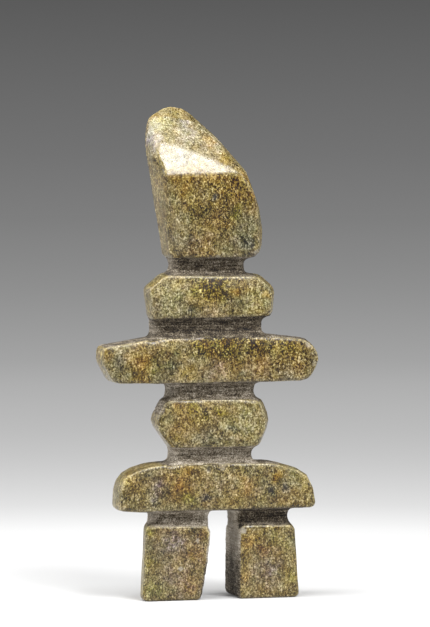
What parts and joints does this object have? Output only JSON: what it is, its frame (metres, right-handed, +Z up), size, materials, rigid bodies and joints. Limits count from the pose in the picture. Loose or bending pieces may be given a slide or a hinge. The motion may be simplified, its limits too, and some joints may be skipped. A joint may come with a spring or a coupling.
{
  "type": "inukshuk sculpture",
  "caption": "Small standing inukshuk carved from a single piece of speckled serpentine: polished blocks stacked like stones, parted by rasped grooves, on a pair of legs.",
  "frame": {"origin": "on the ground, under the middle of the carving's bounding box", "axes": "+Z up, the face looks along -Y, and the arms run along X, with the leaning peak of the head towards -X"},
  "size_m": [0.0832, 0.024, 0.1806],
  "materials": {
    "serpentine": "polished speckled olive and ochre stone, with dull rasped grooves"
  },
  "bodies": {
    "root": {"inukshuk_carving": "serpentine"}
  },
  "joints": []
}
